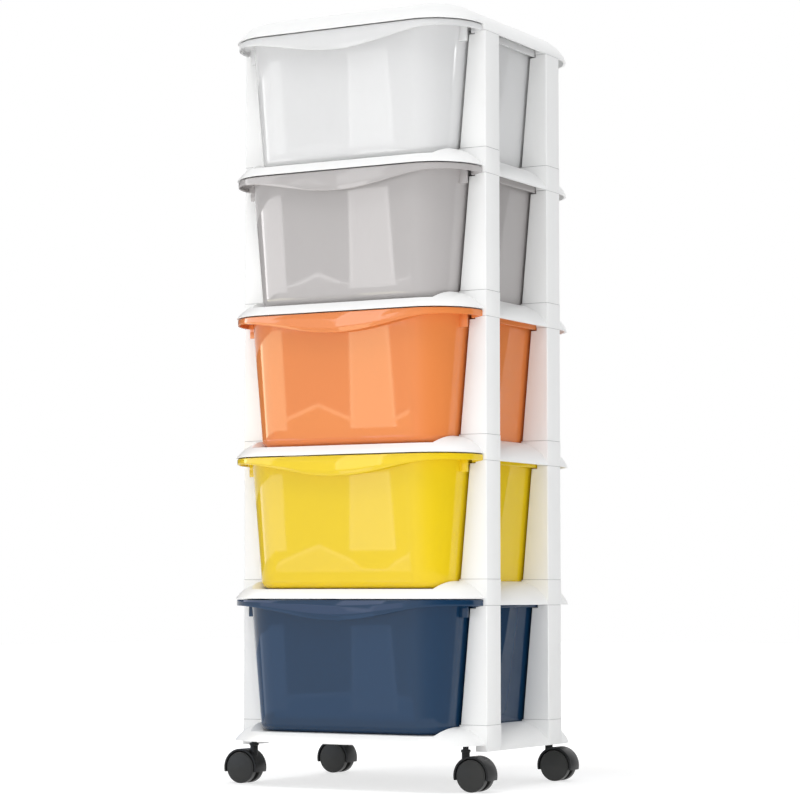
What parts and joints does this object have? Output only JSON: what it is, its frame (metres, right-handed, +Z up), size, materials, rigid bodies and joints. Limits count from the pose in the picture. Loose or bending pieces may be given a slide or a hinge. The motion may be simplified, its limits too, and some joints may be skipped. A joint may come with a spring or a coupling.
{
  "type": "drawer tower",
  "caption": "Tall free-standing tower of open plastic drawers on a slim post frame with shelves, a rounded top cover and twin-wheel swivel casters.",
  "frame": {"origin": "middle of the tower's plan, on the floor it stands on", "axes": "+Z up, -Y out of the front where the drawers open, +X to the right as seen from the front"},
  "size_m": [0.3826, 0.355, 0.981],
  "materials": {
    "frame_white": "white moulded plastic, satin",
    "drawer_clear": "frosted translucent plastic",
    "drawer_grey": "glossy moulded plastic, slightly translucent",
    "drawer_orange": "glossy moulded plastic, slightly translucent",
    "drawer_yellow": "glossy moulded plastic, slightly translucent",
    "drawer_navy": "glossy moulded plastic",
    "caster_black": "glossy black moulded plastic",
    "axle_steel": "plain steel pin"
  },
  "bodies": {
    "frame": {"top_cover": "frame_white", "shelf_4": "frame_white", "shelf_3": "frame_white", "shelf_2": "frame_white", "shelf_1": "frame_white", "base_shelf": "frame_white", "post_front_left_5": "frame_white", "post_front_right_5": "frame_white", "post_rear_left_5": "frame_white", "post_rear_right_5": "frame_white", "post_front_left_4": "frame_white", "post_front_right_4": "frame_white", "post_rear_left_4": "frame_white", "post_rear_right_4": "frame_white", "post_front_left_3": "frame_white", "post_front_right_3": "frame_white", "post_rear_left_3": "frame_white", "post_rear_right_3": "frame_white", "post_front_left_2": "frame_white", "post_front_right_2": "frame_white", "post_rear_left_2": "frame_white", "post_rear_right_2": "frame_white", "post_front_left_1": "frame_white", "post_front_right_1": "frame_white", "post_rear_left_1": "frame_white", "post_rear_right_1": "frame_white", "caster_front_left_stem": "caster_black", "caster_front_right_stem": "caster_black", "caster_rear_left_stem": "caster_black", "caster_rear_right_stem": "caster_black"},
    "drawer_navy": {"drawer_navy": "drawer_navy"},
    "drawer_yellow": {"drawer_yellow": "drawer_yellow"},
    "drawer_orange": {"drawer_orange": "drawer_orange"},
    "drawer_grey": {"drawer_grey": "drawer_grey"},
    "drawer_clear": {"drawer_clear": "drawer_clear"},
    "caster_front_left": {"caster_front_left_hood": "caster_black", "caster_front_left_axle": "axle_steel"},
    "caster_front_left_wheel_front": {"caster_front_left_wheel_front": "caster_black"},
    "caster_front_left_wheel_back": {"caster_front_left_wheel_back": "caster_black"},
    "caster_front_right": {"caster_front_right_hood": "caster_black", "caster_front_right_axle": "axle_steel"},
    "caster_front_right_wheel_front": {"caster_front_right_wheel_front": "caster_black"},
    "caster_front_right_wheel_back": {"caster_front_right_wheel_back": "caster_black"},
    "caster_rear_left": {"caster_rear_left_hood": "caster_black", "caster_rear_left_axle": "axle_steel"},
    "caster_rear_left_wheel_front": {"caster_rear_left_wheel_front": "caster_black"},
    "caster_rear_left_wheel_back": {"caster_rear_left_wheel_back": "caster_black"},
    "caster_rear_right": {"caster_rear_right_hood": "caster_black", "caster_rear_right_axle": "axle_steel"},
    "caster_rear_right_wheel_front": {"caster_rear_right_wheel_front": "caster_black"},
    "caster_rear_right_wheel_back": {"caster_rear_right_wheel_back": "caster_black"}
  },
  "joints": [
    {"name": "drawer_navy_slide", "type": "slide", "parent": "frame", "child": "drawer_navy", "axis": [0, -1, 0], "range_m": [0, 0.2]},
    {"name": "drawer_yellow_slide", "type": "slide", "parent": "frame", "child": "drawer_yellow", "axis": [0, -1, 0], "range_m": [0, 0.2]},
    {"name": "drawer_orange_slide", "type": "slide", "parent": "frame", "child": "drawer_orange", "axis": [0, -1, 0], "range_m": [0, 0.2]},
    {"name": "drawer_grey_slide", "type": "slide", "parent": "frame", "child": "drawer_grey", "axis": [0, -1, 0], "range_m": [0, 0.2]},
    {"name": "drawer_clear_slide", "type": "slide", "parent": "frame", "child": "drawer_clear", "axis": [0, -1, 0], "range_m": [0, 0.2]},
    {"name": "caster_front_left_swivel", "type": "hinge", "parent": "frame", "child": "caster_front_left", "pos_m": [-0.154, -0.116, 0.045], "axis": [0, 0, 1], "continuous": true},
    {"name": "caster_front_left_wheel_front_spin", "type": "hinge", "parent": "caster_front_left", "child": "caster_front_left_wheel_front", "pos_m": [-0.1673, -0.116, 0.02], "axis": [0, 1, 0], "continuous": true},
    {"name": "caster_front_left_wheel_back_spin", "type": "hinge", "parent": "caster_front_left", "child": "caster_front_left_wheel_back", "pos_m": [-0.1673, -0.116, 0.02], "axis": [0, 1, 0], "continuous": true},
    {"name": "caster_front_right_swivel", "type": "hinge", "parent": "frame", "child": "caster_front_right", "pos_m": [0.154, -0.116, 0.045], "axis": [0, 0, 1], "continuous": true},
    {"name": "caster_front_right_wheel_front_spin", "type": "hinge", "parent": "caster_front_right", "child": "caster_front_right_wheel_front", "pos_m": [0.1673, -0.116, 0.02], "axis": [0, 1, 0], "continuous": true},
    {"name": "caster_front_right_wheel_back_spin", "type": "hinge", "parent": "caster_front_right", "child": "caster_front_right_wheel_back", "pos_m": [0.1673, -0.116, 0.02], "axis": [0, 1, 0], "continuous": true},
    {"name": "caster_rear_left_swivel", "type": "hinge", "parent": "frame", "child": "caster_rear_left", "pos_m": [-0.154, 0.116, 0.045], "axis": [0, 0, 1], "continuous": true},
    {"name": "caster_rear_left_wheel_front_spin", "type": "hinge", "parent": "caster_rear_left", "child": "caster_rear_left_wheel_front", "pos_m": [-0.1673, 0.116, 0.02], "axis": [0, 1, 0], "continuous": true},
    {"name": "caster_rear_left_wheel_back_spin", "type": "hinge", "parent": "caster_rear_left", "child": "caster_rear_left_wheel_back", "pos_m": [-0.1673, 0.116, 0.02], "axis": [0, 1, 0], "continuous": true},
    {"name": "caster_rear_right_swivel", "type": "hinge", "parent": "frame", "child": "caster_rear_right", "pos_m": [0.154, 0.116, 0.045], "axis": [0, 0, 1], "continuous": true},
    {"name": "caster_rear_right_wheel_front_spin", "type": "hinge", "parent": "caster_rear_right", "child": "caster_rear_right_wheel_front", "pos_m": [0.1673, 0.116, 0.02], "axis": [0, 1, 0], "continuous": true},
    {"name": "caster_rear_right_wheel_back_spin", "type": "hinge", "parent": "caster_rear_right", "child": "caster_rear_right_wheel_back", "pos_m": [0.1673, 0.116, 0.02], "axis": [0, 1, 0], "continuous": true}
  ]
}
